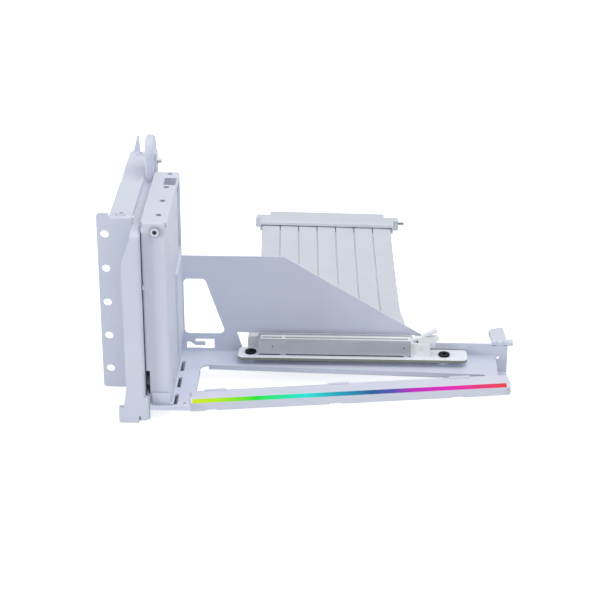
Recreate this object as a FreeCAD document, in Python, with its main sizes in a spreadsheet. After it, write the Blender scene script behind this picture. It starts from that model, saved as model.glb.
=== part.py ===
import FreeCAD, Part
import Sketcher
import math
import os
from collections import namedtuple
from types import SimpleNamespace

# Vertical graphics card mount: a screw-in case bracket, a slide rail and a card frame make the tower
# on the left, a folded tray reaches to the right with a riser socket, a light bar and a hinged flap,
# and a flat ribbon lies behind it with its plug.
# Datum: X = 0 and Y = 0 at the middle card-tip slot, Z = 0 on the tray's upper face.
# X runs along the card, Y towards the main board behind it, Z up.

SIZES = {
    # sheet, gaps and fits
    "sheet_thickness": 1.2,
    "side_gap": 0.4,
    "piece_gap": 0.3,
    "running_gap": 0.05,
    "screw_gap": 0.2,
    "bend_radius": 1.5,
    "slot_pitch": 20.32,
    "floor_drop": 10.5,
    # card frame
    "frame_clear": 2.0,
    "frame_width": 14.0,
    "frame_front": 24.5,
    "frame_length": 77.0,
    "frame_height": 108.0,
    "frame_return": 5.0,
    "port_margin_front": 59.1,
    "port_margin_back": 2.0,
    "port_margin_low": 62.5,
    "port_margin_high": 4.0,
    "card_hole_count": 4,
    "card_hole_radius": 1.6,
    "card_hole_side": 5.2,
    "card_hole_first": 11.5,
    "frame_cut_width": 6.7,
    "frame_cut_length": 10.7,
    "frame_cut_start": 55.5,
    "frame_cut_side": 0.6,
    "relief_radius": 0.7,
    "relief_depth": 3.0,
    "catch_width": 1.8,
    "catch_height": 2.4,
    "catch_reach": 0.9,
    "catch_level": 69.0,
    "frame_notch_width": 2.3,
    "frame_notch_low": 5.2,
    "frame_notch_height": 14.3,
    # case bracket
    "bracket_width": 12.6,
    "bracket_front": 12.5,
    "bracket_length": 102.5,
    "bracket_bottom": 3.1,
    "bracket_height": 103.1,
    "flange_reach": 6.9,
    "flange_rise": 2.0,
    "flange_corner": 2.0,
    "flange_hole_count": 5,
    "flange_hole_radius": 2.25,
    "flange_hole_side": 4.2,
    "flange_hole_low": 11.6,
    "joggle_start": 51.0,
    "joggle_length": 23.5,
    "joggle_overlap": 6.0,
    "dimple_radius": 1.0,
    "dimple_height": 0.4,
    "prong_width": 3.9,
    "prong_tip_width": 1.0,
    "prong_height": 9.4,
    "prong_root": 3.0,
    "prong_side": 1.8,
    "bracket_screw_front": 4.5,
    "bracket_screw_back": 6.0,
    "bracket_screw_side": 6.4,
    # slide rail and its hook
    "rail_width": 5.0,
    "rail_wall": 1.6,
    "rail_front": 29.5,
    "rail_tail": 9.5,
    "rail_top": 102.5,
    "rail_nose_radius": 2.2,
    "rail_edge_radius": 1.4,
    "rail_face_reach": 5.2,
    "rail_face_thickness": 2.6,
    "rail_face_drop": 14.0,
    "foot_reach": 4.9,
    "foot_height": 9.3,
    "foot_depth": 3.4,
    "foot_flare": 1.9,
    "foot_flare_height": 12.0,
    "foot_notch_width": 1.3,
    "foot_notch_height": 4.2,
    "foot_notch_side": 2.5,
    "foot_toe_lift": 2.1,
    "toe_reach": 2.3,
    "lug_length": 7.0,
    "lug_reach": 10.0,
    "tab_thickness": 1.2,
    "tab_drop": 12.0,
    "tab_height": 15.5,
    "hook_seat": 14.0,
    "hook_length": 19.0,
    "hook_height": 25.2,
    "hook_edge_radius": 1.6,
    "hook_screw_height": 10.0,
    "hook_screw_tail": 2.5,
    # screws
    "screw_radius": 1.5,
    "screw_head_radius": 2.9,
    "screw_head_height": 1.4,
    "low_head_height": 0.6,
    "screw_socket_radius": 1.25,
    "screw_socket_depth": 0.9,
    "spacer_radius": 3.0,
    "tie_inset": 4.2,
    "tie_low": 8.0,
    "tie_high": 90.0,
    "tie_spacer_radius": 2.6,
    "frame_screw_drop": 5.0,
    "frame_screw_side": 6.3,
    "frame_screw_length": 6.0,
    "tray_screw_inset": 12.5,
    "tray_screw_tail": 2.2,
    # tray
    "tray_front": 29.0,
    "tray_left_inset": 0.3,
    "tray_front_right": 7.3,
    "tray_right": 181.2,
    "front_lip": 2.4,
    "lip_corner": 1.1,
    "stand_tab_height": 6.3,
    "stand_tab_slot": 2.1,
    "stand_tab_inset": 0.8,
    "stand_tab_left": 1.1,
    "tip_slot_width": 2.2,
    "tip_slot_length": 12.4,
    "tip_slot_count": 3,
    "end_slot_width": 1.4,
    "end_slot_length": 3.0,
    "wall_front": 38.0,
    "wall_height": 61.8,
    "wall_shoulder": 58.0,
    "wall_low_start": 146.3,
    "wall_low_height": 8.5,
    "wall_right": 188.0,
    "wall_corner": 5.0,
    "wall_bend": 2.0,
    "leg_width": 7.3,
    "leg_foot": 3.0,
    "wall_fold_length": 26.0,
    "wall_fold_bottom": 13.0,
    "window_left": -0.2,
    "window_bottom": 12.5,
    "window_height": 34.9,
    "window_top_width": 12.3,
    "window_bottom_width": 24.0,
    "window_corner": 2.6,
    "anchor_left": 0.9,
    "anchor_width": 16.0,
    "anchor_bottom": 2.8,
    "anchor_height": 6.2,
    "anchor_tongue_root": 5.0,
    "anchor_tongue_length": 10.8,
    "anchor_tongue_top": 2.0,
    "anchor_tongue_height": 2.2,
    "outlet_top": 13.6,
    "outlet_bottom": 2.6,
    "outlet_slant": 3.4,
    "outlet_gap": 0.7,
    "outlet_room": 3.1,
    "opening_left": 10.2,
    "opening_right": 174.0,
    "opening_back_left": 22.7,
    "opening_back_right": 15.6,
    "opening_corner": 4.5,
    "opening_end_corner": 1.2,
    "opening_lip": 3.0,
    "leg_hole_radius": 0.9,
    "leg_hole_side": 1.8,
    "leg_hole_drop": 9.0,
    # light bar, in its own frame along the tray's slanted front rim
    "bar_left": 7.6,
    "bar_back": 13.1,
    "bar_angle": 8.3,
    "bar_length": 178.0,
    "bar_depth": 12.0,
    "bar_top": 1.5,
    "bar_height": 6.7,
    "bar_wall": 1.0,
    "bar_lens_width": 2.0,
    "bar_lens_height": 1.6,
    "bar_lens_wall": 0.8,
    "bar_web": 7.2,
    "bar_shelf": 3.2,
    "bar_floor_width": 8.0,
    "bar_notch_length": 6.0,
    "bar_notch_height": 0.7,
    "rim_back": 1.0,
    "rim_gap": 0.5,
    "light_board_thickness": 0.8,
    "light_board_margin": 2.0,
    "chip_length": 2.4,
    "chip_pitch": 7.2,
    "chip_height": 1.5,
    "chip_thickness": 0.8,
    "cap_thickness": 1.2,
    "end_cap_thickness": 2.6,
    "end_cap_corner": 1.8,
    "end_screw_radius": 0.7,
    "end_screw_head_radius": 1.3,
    "end_screw_head_height": 0.5,
    "end_screw_length": 4.0,
    "end_screw_height": 2.6,
    "clip_length": 12.0,
    "clip_thickness": 0.5,
    "clip_top_reach": 1.5,
    "clip_bottom_reach": 5.0,
    "clip_gap": 0.2,
    "clip_first": 7.8,
    "clip_pitch": 69.5,
    "clip_count": 3,
    # hinged flap at the wall's right end
    "flap_width": 8.7,
    "flap_length": 20.8,
    "flap_slant": 4.0,
    "flap_lean": 1.5,
    "flap_thickness": 2.6,
    "flap_setback": 2.8,
    "flap_corner": 1.2,
    "knuckle_width": 3.6,
    "knuckle_radius": 1.7,
    "hinge_rise": 0.95,
    "flap_pin_radius": 1.1,
    "flap_pin_head_radius": 2.0,
    "flap_pin_head_length": 3.2,
    # riser socket
    "board_left": 31.5,
    "board_length": 132.5,
    "board_front": 23.6,
    "board_depth": 13.8,
    "board_thickness": 1.6,
    "board_corner": 3.0,
    "board_lift": 3.0,
    "board_hole_left": 7.1,
    "board_hole_spacing": 112.2,
    "board_hole_front": 6.9,
    "board_hole_radius": 1.7,
    "board_screw_radius": 1.25,
    "board_screw_depth": 4.0,
    "board_head_radius": 3.3,
    "board_head_height": 0.95,
    "standoff_radius": 3.0,
    "socket_left": 43.4,
    "socket_length": 88.0,
    "socket_front": 27.5,
    "socket_depth": 8.0,
    "socket_height": 9.4,
    "groove_width": 1.8,
    "groove_depth": 8.0,
    "groove_margin": 1.6,
    "groove_key_start": 11.7,
    "groove_key_width": 1.9,
    "contact_pitch": 1.0,
    "contact_width": 0.5,
    "contact_thickness": 0.15,
    "contact_low": 0.8,
    "contact_high": 1.2,
    "shroud_thickness": 0.4,
    "shroud_lift": 0.8,
    "shroud_lip": 1.0,
    "shroud_foot_width": 3.2,
    "shroud_foot_left": 12.6,
    "shroud_foot_right": 1.0,
    "shroud_dimple_radius": 0.45,
    "shroud_dimple_left": 8.0,
    "shroud_dimple_right": 4.0,
    "shroud_dimple_height": 5.6,
    # latch at the socket's right end
    "latch_block_length": 11.0,
    "latch_block_depth": 6.4,
    "latch_block_height": 8.0,
    "latch_cheek": 1.3,
    "latch_floor": 1.6,
    "latch_back_wall": 3.2,
    "latch_pivot_side": 6.4,
    "latch_pivot_height": 4.4,
    "latch_pin_radius": 1.0,
    "latch_pin_setback": 0.3,
    "latch_foot": 1.8,
    "latch_stem": 2.2,
    "latch_neck": 5.2,
    # ribbon and its clamp
    "clamp_left": 36.7,
    "clamp_length": 96.3,
    "clamp_depth": 7.6,
    "clamp_height": 7.7,
    "clamp_corner": 2.0,
    "clamp_slit_depth": 5.0,
    "clamp_slit_low": 2.9,
    "clamp_slit_height": 1.3,
    "strip_count": 7,
    "strip_width": 12.35,
    "strip_pitch": 12.65,
    "strip_thickness": 1.0,
    "strip_insert": 4.5,
    "ribbon_lean": 2.2,
    "ribbon_offset": 0.8,
    # plug on the ribbon's far end, in its own frame
    "plug_across": 77.8,
    "plug_back": 246.2,
    "plug_turn": 2.0,
    "plug_width": 98.6,
    "plug_body_depth": 6.0,
    "plug_boss_depth": 6.5,
    "plug_boss_margin": 1.6,
    "plug_height": 7.0,
    "plug_corner": 1.2,
    "plug_slit_height": 1.9,
    "plug_slit_depth": 6.5,
    "plug_board_thickness": 1.6,
    "plug_board_width": 88.0,
    "tongue_left": 38.8,
    "tongue_width": 76.3,
    "tongue_length": 7.5,
    "tongue_key_start": 11.2,
    "tongue_key_width": 1.9,
    "card_hook_reach": 3.6,
    "card_hook_depth": 2.2,
    "finger_width": 0.7,
    "finger_length": 4.5,
    "finger_thickness": 0.1,
    "cover_cap_wall": 1.1,
    "cover_cap_gap": 0.3,
}

SHEET_NAME = "Sizes"
MATCH = 1e-3

doc = FreeCAD.newDocument("VerticalCardMount")
sheet = doc.addObject("Spreadsheet::Sheet", SHEET_NAME)
for row, (alias, number) in enumerate(SIZES.items(), start=1):
    sheet.set(f"A{row}", alias)
    sheet.set(f"B{row}", str(number))
    sheet.setAlias(f"B{row}", alias)
doc.recompute()


# Values that carry their sheet expression
class Size:
    """A number together with the sheet expression that gives it."""

    def __init__(self, value, text):
        self.value = float(value)
        self.text = text

    def __float__(self):
        return self.value

    def __neg__(self):
        return Size(-self.value, f"-({self.text})")

    def __add__(self, other):
        other = as_size(other)
        return Size(self.value + other.value, f"({self.text} + {other.text})")

    def __radd__(self, other):
        return as_size(other) + self

    def __sub__(self, other):
        other = as_size(other)
        return Size(self.value - other.value, f"({self.text} - {other.text})")

    def __rsub__(self, other):
        return as_size(other) - self

    def __mul__(self, other):
        other = as_size(other)
        return Size(self.value * other.value, f"{self.text} * {other.text}")

    def __rmul__(self, other):
        return as_size(other) * self

    def __truediv__(self, other):
        other = as_size(other)
        return Size(self.value / other.value, f"{self.text} / {other.text}")


def as_size(number):
    """A plain number or a Size, as a Size."""
    if isinstance(number, Size):
        return number
    return Size(number, f"({float(number)!r})")


def cosine(angle):
    return Size(math.cos(math.radians(angle.value)), f"cos({angle.text} * 1 deg)")


def tangent(angle):
    return Size(math.tan(math.radians(angle.value)), f"tan({angle.text} * 1 deg)")


d = SimpleNamespace(**{alias: Size(sheet.get(alias), f"{SHEET_NAME}.{alias}") for alias in SIZES})
ZERO = as_size(0)
sheet_t = d.sheet_thickness

# Places that several pieces share
frame_right = -d.frame_clear
frame_left = frame_right - d.frame_width
frame_y0 = -d.frame_front
frame_y1 = frame_y0 + d.frame_length
rail_right = frame_left - d.side_gap
rail_left = rail_right - d.rail_width
rail_y0 = -d.rail_front
rail_y1 = frame_y1 + d.rail_tail
bracket_right = rail_left - d.side_gap
bracket_left = bracket_right - d.bracket_width
bracket_y0 = -d.bracket_front
bracket_y1 = bracket_y0 + d.bracket_length
bracket_z0 = d.bracket_bottom
bracket_z1 = bracket_z0 + d.bracket_height
floor = -d.floor_drop
port_y0 = frame_y0 + d.port_margin_front
port_y1 = frame_y1 - d.port_margin_back
port_z0 = d.port_margin_low
port_z1 = d.frame_height - d.port_margin_high
wall_y0 = d.wall_front
wall_y1 = d.wall_front + sheet_t
screw_hole = d.screw_radius + d.screw_gap
hinge_y = wall_y0 + sheet_t / 2
hinge_z = d.wall_low_height + d.hinge_rise
flap_right = d.wall_right - d.piece_gap
flap_left = flap_right - d.flap_width
flap_middle = flap_right - d.flap_width / 2
board_top = d.board_lift + d.board_thickness
board_right = d.board_left + d.board_length
board_y1 = d.board_front + d.board_depth
socket_right = d.socket_left + d.socket_length
socket_y1 = d.socket_front + d.socket_depth
socket_middle = d.socket_front + d.socket_depth / 2
socket_top = board_top + d.socket_height
clamp_y0 = socket_y1 + d.shroud_thickness + d.piece_gap
clamp_y1 = clamp_y0 + d.clamp_depth
clamp_right = d.clamp_left + d.clamp_length
slit_z0 = board_top + d.clamp_slit_low
bar_slope = tangent(d.bar_angle)
bar_cosine = cosine(d.bar_angle)

# The model's origin is under the middle of the object, on the surface that it stands on
mid_x = (bracket_left - d.flange_reach + flap_right + d.flap_pin_head_length) / 2
mid_y = (rail_y0 + bracket_y1) / 2
shift = (-mid_x, -mid_y, d.floor_drop)

pieces = []


# Drawing and placing
Polygon = namedtuple("Polygon", "points")
Circle = namedtuple("Circle", "across up radius")


def rectangle(across0, across1, up0, up1):
    return Polygon([(across0, up0), (across1, up0), (across1, up1), (across0, up1)])


def bind(target, path, size):
    target.setExpression(path, as_size(size).text)


def place(target, at=(ZERO, ZERO, ZERO), turn=None):
    """Move an object by the model's shift plus a place of its own, turned about Z if asked."""
    if turn is not None:
        target.Placement = FreeCAD.Placement(
            FreeCAD.Vector(), FreeCAD.Rotation(FreeCAD.Vector(0, 0, 1), float(turn)))
        target.setExpression("Placement.Rotation.Angle", f"{turn.text} * 1 deg")
    for axis, start, extra in zip("xyz", shift, at):
        bind(target, f"Placement.Base.{axis}", start + extra)


def keep(piece, label):
    """Name a finished sub-part and list it for writing."""
    piece.Label = label
    pieces.append(piece)
    return piece


def new_body(label, at=(ZERO, ZERO, ZERO), turn=None, listed=True):
    body = doc.addObject("PartDesign::Body", label)
    place(body, at, turn)
    if listed:
        keep(body, label)
    return body


def draw(drawing, outline):
    """Draw one closed outline with every point and radius bound to the sheet."""
    first = drawing.GeometryCount
    constraints = []
    levels = []
    if isinstance(outline, Circle):
        centre = FreeCAD.Vector(float(outline.across), float(outline.up), 0)
        drawing.addGeometry(Part.Circle(centre, FreeCAD.Vector(0, 0, 1), float(outline.radius)))
        constraints.append(Sketcher.Constraint("DistanceX", -1, 1, first, 3, float(outline.across)))
        constraints.append(Sketcher.Constraint("DistanceY", -1, 1, first, 3, float(outline.up)))
        constraints.append(Sketcher.Constraint("Radius", first, float(outline.radius)))
        levels = [outline.across, outline.up, outline.radius]
    else:
        corners = [FreeCAD.Vector(float(across), float(up), 0) for across, up in outline.points]
        count = len(corners)
        for i in range(count):
            drawing.addGeometry(Part.LineSegment(corners[i], corners[(i + 1) % count]))
        drawing.addConstraint([
            Sketcher.Constraint("Coincident", first + i, 2, first + (i + 1) % count, 1)
            for i in range(count)])
        for i, (across, up) in enumerate(outline.points):
            constraints.append(Sketcher.Constraint("DistanceX", -1, 1, first + i, 1, float(across)))
            constraints.append(Sketcher.Constraint("DistanceY", -1, 1, first + i, 1, float(up)))
            levels += [across, up]
    for index, level in zip(drawing.addConstraint(constraints), levels):
        bind(drawing, f"Constraints[{index}]", level)


def sketch(body, plane, level, outlines):
    """A sketch on an origin plane of the body, moved along that plane's axis to a level."""
    drawing = body.newObject("Sketcher::SketchObject", "Sketch")
    for feature in body.Origin.OriginFeatures:
        if feature.Role == f"{plane}_Plane":
            drawing.AttachmentSupport = (feature, [""])
    drawing.MapMode = "FlatFace"
    bind(drawing, "AttachmentOffset.Base.z", -level if plane == "XZ" else level)
    for outline in outlines:
        draw(drawing, outline)
    doc.recompute()
    return drawing


def pad(body, plane, outlines, low, high):
    """Add material between two levels along the plane's axis."""
    low = as_size(low)
    high = as_size(high)
    drawing = sketch(body, plane, low, outlines)
    feature = body.newObject("PartDesign::Pad", "Pad")
    feature.Profile = drawing
    feature.Reversed = plane == "XZ"
    bind(feature, "Length", high - low)
    doc.recompute()


def pocket(body, plane, outlines, low, high):
    """Remove material between two levels along the plane's axis."""
    low = as_size(low)
    high = as_size(high)
    before = body.Shape.Volume
    drawing = sketch(body, plane, low if plane == "XZ" else high, outlines)
    feature = body.newObject("PartDesign::Pocket", "Pocket")
    feature.Profile = drawing
    bind(feature, "Length", high - low)
    doc.recompute()
    if not body.Shape.Volume < before:
        raise RuntimeError(f"a pocket of {body.Label} removes nothing")


def fillet(body, radius, *lines):
    """Round the edges whose two ends lie on one of the given lines, each a dict of axis to level."""
    base = body.Tip
    names = []
    for number, edge in enumerate(base.Shape.Edges, start=1):
        for line in lines:
            ends = [getattr(vertex.Point, axis) - float(level)
                    for vertex in edge.Vertexes for axis, level in line.items()]
            if max(abs(end) for end in ends) < MATCH:
                names.append(f"Edge{number}")
                break
    feature = body.newObject("PartDesign::Fillet", "Fillet")
    feature.Base = (base, names)
    bind(feature, "Radius", radius)
    doc.recompute()


AXIS_TURNS = {
    "z": FreeCAD.Rotation(),
    "x": FreeCAD.Rotation(FreeCAD.Vector(0, 1, 0), 90),
    "y": FreeCAD.Rotation(FreeCAD.Vector(1, 0, 0), -90),
}


def cylinder(radius, axis, low, high, across):
    """A cylinder along an axis between two levels, at the two other coordinates in X, Y, Z order."""
    solid = doc.addObject("Part::Cylinder", "Cylinder")
    solid.Placement.Rotation = AXIS_TURNS[axis]
    at = list(across)
    at.insert("xyz".index(axis), low)
    place(solid, at)
    bind(solid, "Radius", radius)
    bind(solid, "Height", high - low)
    return solid


def hex_hole(radius, axis, low, high, across):
    """A six-sided driver hole, placed as a cylinder is."""
    solid = doc.addObject("Part::Prism", "Prism")
    solid.Polygon = 6
    solid.Placement.Rotation = AXIS_TURNS[axis]
    at = list(across)
    at.insert("xyz".index(axis), low)
    place(solid, at)
    bind(solid, "Circumradius", radius)
    bind(solid, "Height", high - low)
    return solid


def fuse(solids):
    joined = doc.addObject("Part::MultiFuse", "Fuse")
    joined.Shapes = solids
    return joined


def cut(base, tool):
    left = doc.addObject("Part::Cut", "Cut")
    left.Base = base
    left.Tool = tool
    return left


def group(label, solids):
    """Several separate solids that share one node."""
    compound = doc.addObject("Part::Compound", label)
    compound.Links = solids
    return keep(compound, label)


def boxes(label, corners, at=(ZERO, ZERO, ZERO), turn=None):
    """Small rectangular solids that share one node, each given by its low corner and its size."""
    solids = []
    for low, extent in corners:
        solid = doc.addObject("Part::Box", "Box")
        for name, length in zip(("Length", "Width", "Height"), extent):
            bind(solid, name, length)
        for axis, level in zip("xyz", low):
            bind(solid, f"Placement.Base.{axis}", level)
        solids.append(solid)
    place(group(label, solids), at, turn)


def screw(axis, seat, tip, across, radius=d.screw_radius, head_radius=d.screw_head_radius,
          head_height=d.screw_head_height):
    """A button screw whose head sits on a seat level and whose shank ends at the tip level."""
    seat = as_size(seat)
    tip = as_size(tip)
    depth = d.screw_socket_depth
    if float(tip) < float(seat):
        head_top = seat + head_height
        shank = cylinder(radius, axis, tip, seat, across)
        head = cylinder(head_radius, axis, seat, head_top, across)
        driver = hex_hole(d.screw_socket_radius, axis, head_top - depth, head_top, across)
    else:
        head_top = seat - head_height
        shank = cylinder(radius, axis, seat, tip, across)
        head = cylinder(head_radius, axis, head_top, seat, across)
        driver = hex_hole(d.screw_socket_radius, axis, head_top, head_top + depth, across)
    return cut(fuse([shank, head]), driver)


def tube(axis, low, high, across, radius, bore):
    return cut(cylinder(radius, axis, low, high, across), cylinder(bore, axis, low, high, across))


# Card frame: an open folded box that the card's own bracket is screwed to
card_hole_x = frame_right - d.card_hole_side
card_holes = [frame_y0 + d.card_hole_first + k * d.slot_pitch for k in range(SIZES["card_hole_count"])]
frame_cut_y = frame_y0 + d.frame_cut_start
frame_screw_x = frame_right - d.frame_screw_side
frame_screw_z = d.frame_height - d.frame_screw_drop
tray_screw_x = (frame_left + frame_right) / 2
tray_screw_ys = [frame_y0 + d.tray_screw_inset, frame_y1 - d.tray_screw_inset]
tie_ys = (frame_y0 + d.frame_screw_length + d.tie_inset, port_y0 - d.tie_inset)
tie_places = [(y, z) for y in tie_ys for z in (d.tie_low, d.tie_high)]

gpu_frame = new_body("gpu_frame")
pad(gpu_frame, "XY", [rectangle(frame_left, frame_right, frame_y0, frame_y1)], ZERO, d.frame_height)
fillet(gpu_frame, d.bend_radius,
       dict(x=frame_right, y=frame_y0), dict(x=frame_right, y=frame_y1), dict(x=frame_left, y=frame_y0),
       dict(y=frame_y0, z=d.frame_height), dict(y=frame_y1, z=d.frame_height),
       dict(x=frame_right, z=d.frame_height))
pocket(gpu_frame, "YZ", [rectangle(frame_y0 + sheet_t, frame_y1 - sheet_t, sheet_t, d.frame_height - sheet_t)],
       frame_left + sheet_t, frame_right - sheet_t)
pocket(gpu_frame, "YZ",
       [rectangle(frame_y0 + d.frame_return, frame_y1 - sheet_t, sheet_t, d.frame_height - sheet_t)],
       frame_left, frame_left + sheet_t)
pocket(gpu_frame, "YZ", [rectangle(port_y0, port_y1, port_z0, port_z1)], frame_right - sheet_t, frame_right)
pocket(gpu_frame, "YZ", [Circle(y, z, screw_hole) for y, z in tie_places], frame_right - sheet_t, frame_right)
pocket(gpu_frame, "XY", [Circle(card_hole_x, y, d.card_hole_radius) for y in card_holes],
       d.frame_height - sheet_t, d.frame_height)
pocket(gpu_frame, "XY",
       [rectangle(frame_right - d.frame_cut_side - d.frame_cut_width, frame_right - d.frame_cut_side,
                  frame_cut_y, frame_cut_y + d.frame_cut_length)],
       d.frame_height - sheet_t * 2, d.frame_height)
pocket(gpu_frame, "XY",
       [Circle(frame_left + d.relief_radius, frame_y0 + d.relief_radius, d.relief_radius),
        Circle(frame_right - d.relief_radius, frame_y0 + d.relief_radius, d.relief_radius)],
       d.frame_height - d.relief_depth, d.frame_height)
pocket(gpu_frame, "XZ", [Circle(frame_screw_x, frame_screw_z, screw_hole)], frame_y0, frame_y0 + sheet_t)
pocket(gpu_frame, "XY", [Circle(tray_screw_x, y, screw_hole) for y in tray_screw_ys], ZERO, sheet_t)
pocket(gpu_frame, "XZ",
       [rectangle(frame_left, frame_left + d.frame_notch_width, d.frame_notch_low,
                  d.frame_notch_low + d.frame_notch_height)],
       frame_y0, frame_y0 + d.frame_return)
pad(gpu_frame, "XZ",
    [rectangle(frame_left, frame_left + d.catch_width, d.catch_level, d.catch_level + d.catch_height)],
    frame_y0 - d.catch_reach, frame_y0 + sheet_t / 2)

# Case bracket: an angled sheet with a screw flange towards the viewer, its top plate lying over the tail's end
flange_left = bracket_left - d.flange_reach
flange_top = bracket_z1 + d.flange_rise
flange_hole_x = flange_left + d.flange_hole_side
flange_holes = [bracket_z0 + d.flange_hole_low + k * d.slot_pitch for k in range(SIZES["flange_hole_count"])]
bracket_screw_x = bracket_left + d.bracket_screw_side
bracket_screw_ys = [bracket_y0 + d.bracket_screw_front, bracket_y1 - d.bracket_screw_back]
bracket_under = bracket_z1 - sheet_t
joggle_y0 = bracket_y0 + d.joggle_start
joggle_y1 = joggle_y0 + d.joggle_length

case_bracket = new_body("case_bracket")
pad(case_bracket, "YZ",
    [Polygon([(bracket_y0, bracket_z0), (bracket_y0 + sheet_t, bracket_z0), (bracket_y0 + sheet_t, bracket_under),
              (joggle_y0, bracket_under), (joggle_y0, bracket_z1), (bracket_y0, bracket_z1)])],
    bracket_left, bracket_right)
fillet(case_bracket, d.bend_radius, dict(y=bracket_y0, z=bracket_z1))
pad(case_bracket, "XZ", [rectangle(flange_left, bracket_left, bracket_z0, flange_top)],
    bracket_y0, bracket_y0 + sheet_t)
fillet(case_bracket, d.flange_corner, dict(x=flange_left, z=bracket_z0), dict(x=flange_left, z=flange_top))
pocket(case_bracket, "XZ", [Circle(flange_hole_x, z, d.flange_hole_radius) for z in flange_holes],
       bracket_y0, bracket_y0 + sheet_t)
pocket(case_bracket, "XY", [Circle(bracket_screw_x, bracket_screw_ys[0], screw_hole)], bracket_under, bracket_z1)

# Bracket tail: a second angled sheet, joggled under the first, with a pointed prong at the rear
tail_y0 = joggle_y0 - d.joggle_overlap
tail_under = bracket_under - sheet_t
prong_x = bracket_left + d.prong_side
prong_right = prong_x + d.prong_width
dimple_y = (joggle_y0 * 2 + joggle_y1) / 3
dimple_z = bracket_z1 - sheet_t * 2 / 3

bracket_tail = new_body("bracket_tail")
pad(bracket_tail, "YZ",
    [Polygon([(tail_y0, bracket_under), (tail_y0, tail_under), (joggle_y0, tail_under), (joggle_y1, bracket_under),
              (bracket_y1 - sheet_t, bracket_under), (bracket_y1 - sheet_t, bracket_z0), (bracket_y1, bracket_z0),
              (bracket_y1, bracket_z1), (joggle_y1, bracket_z1), (joggle_y0, bracket_under)])],
    bracket_left, bracket_right)
fillet(bracket_tail, d.bend_radius, dict(y=bracket_y1, z=bracket_z1))
pad(bracket_tail, "XY", [Circle(bracket_right - d.bracket_width / 3, dimple_y, d.dimple_radius)],
    dimple_z - sheet_t / 2, dimple_z + d.dimple_height)
pocket(bracket_tail, "XY", [Circle(bracket_screw_x, bracket_screw_ys[1], screw_hole)], bracket_under, bracket_z1)
pad(bracket_tail, "XZ",
    [Polygon([(prong_x, bracket_z1 - d.prong_root), (prong_right, bracket_z1 - d.prong_root),
              (prong_right, bracket_z1), (prong_right - d.prong_tip_width / 2, bracket_z1 + d.prong_height),
              (prong_right - d.prong_tip_width * 1.5, bracket_z1 + d.prong_height), (prong_x, bracket_z1)])],
    bracket_y1 - sheet_t, bracket_y1)

# Slide rail: a moulded channel between bracket and frame, with a front face, a foot and a rear tab
rail_face_left = rail_left - d.rail_face_reach
foot_left = rail_face_left - d.foot_reach
notch_right = rail_right - d.foot_notch_side
toe_right = rail_right + d.toe_reach
lug_left = rail_left - d.lug_reach
lug_y0 = bracket_y0 + sheet_t + d.piece_gap
lug_y1 = lug_y0 + d.lug_length
tab_y0 = frame_y1 + d.piece_gap
tab_right = rail_right + d.tab_thickness
nose_inner = d.rail_nose_radius - d.rail_wall
face_top = d.rail_top - d.rail_nose_radius
foot_top = floor + d.foot_height

slide_rail = new_body("slide_rail")
pad(slide_rail, "XY", [rectangle(rail_left, rail_right, rail_y0, rail_y1)], floor, d.rail_top)
fillet(slide_rail, d.rail_nose_radius, dict(y=rail_y0, z=d.rail_top))
fillet(slide_rail, d.rail_edge_radius, dict(x=rail_right, y=rail_y0))
pocket(slide_rail, "YZ",
       [Polygon([(rail_y0 + d.rail_wall, floor + d.rail_wall), (rail_y1 - d.rail_wall, floor + d.rail_wall),
                 (rail_y1 - d.rail_wall, d.rail_top - d.rail_wall),
                 (rail_y0 + d.rail_wall + nose_inner, d.rail_top - d.rail_wall),
                 (rail_y0 + d.rail_wall, d.rail_top - d.rail_wall - nose_inner)])],
       rail_left, rail_right - d.rail_wall)
pocket(slide_rail, "YZ", [rectangle(port_y0, port_y1, port_z0, d.rail_top - d.port_margin_high)],
       rail_right - d.rail_wall, rail_right)
pocket(slide_rail, "YZ", [Circle(y, z, screw_hole) for y, z in tie_places], rail_right - d.rail_wall, rail_right)
pad(slide_rail, "XZ",
    [Polygon([(rail_face_left - d.foot_flare, floor), (rail_left + d.rail_wall, floor),
              (rail_left + d.rail_wall, face_top), (rail_left, face_top),
              (rail_face_left, face_top - d.rail_face_drop), (rail_face_left, foot_top + d.foot_flare_height),
              (rail_face_left - d.foot_flare, foot_top)])],
    rail_y0, rail_y0 + d.rail_face_thickness)
pad(slide_rail, "XZ", [rectangle(foot_left, rail_left + d.rail_wall, floor, foot_top)],
    rail_y0, rail_y0 + d.foot_depth)
pocket(slide_rail, "XZ",
       [rectangle(notch_right - d.foot_notch_width, notch_right, floor, floor + d.foot_notch_height)],
       rail_y0, rail_y0 + d.foot_depth)
pocket(slide_rail, "XZ", [rectangle(notch_right, rail_right, floor, floor + d.foot_toe_lift)],
       rail_y0, rail_y0 + d.foot_depth)
pad(slide_rail, "XZ",
    [rectangle(rail_right - d.rail_wall, toe_right, floor + d.foot_toe_lift, d.frame_notch_low)],
    rail_y0, rail_y0 + d.foot_depth)
fillet(slide_rail, d.rail_edge_radius, dict(x=foot_left, y=rail_y0), dict(x=foot_left, z=foot_top),
       dict(x=toe_right, y=rail_y0))
pad(slide_rail, "XY", [rectangle(lug_left, rail_left + d.rail_wall, lug_y0, lug_y1)],
    d.rail_top - d.rail_wall, d.rail_top)
pocket(slide_rail, "XY", [Circle(bracket_screw_x, bracket_screw_ys[0], screw_hole)],
       d.rail_top - d.rail_wall, d.rail_top)
pad(slide_rail, "YZ", [rectangle(tab_y0, rail_y1, d.rail_top - d.tab_drop, d.rail_top + d.tab_height)],
    rail_right, tab_right)
hook_y0 = rail_y1 - d.hook_seat
hook_y1 = hook_y0 + d.hook_length
hook_y = hook_y0 + d.hook_length / 2
hook_screw_z = d.rail_top + d.hook_screw_height
pocket(slide_rail, "YZ", [Circle(hook_y, hook_screw_z, screw_hole)], rail_right, tab_right)

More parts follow.
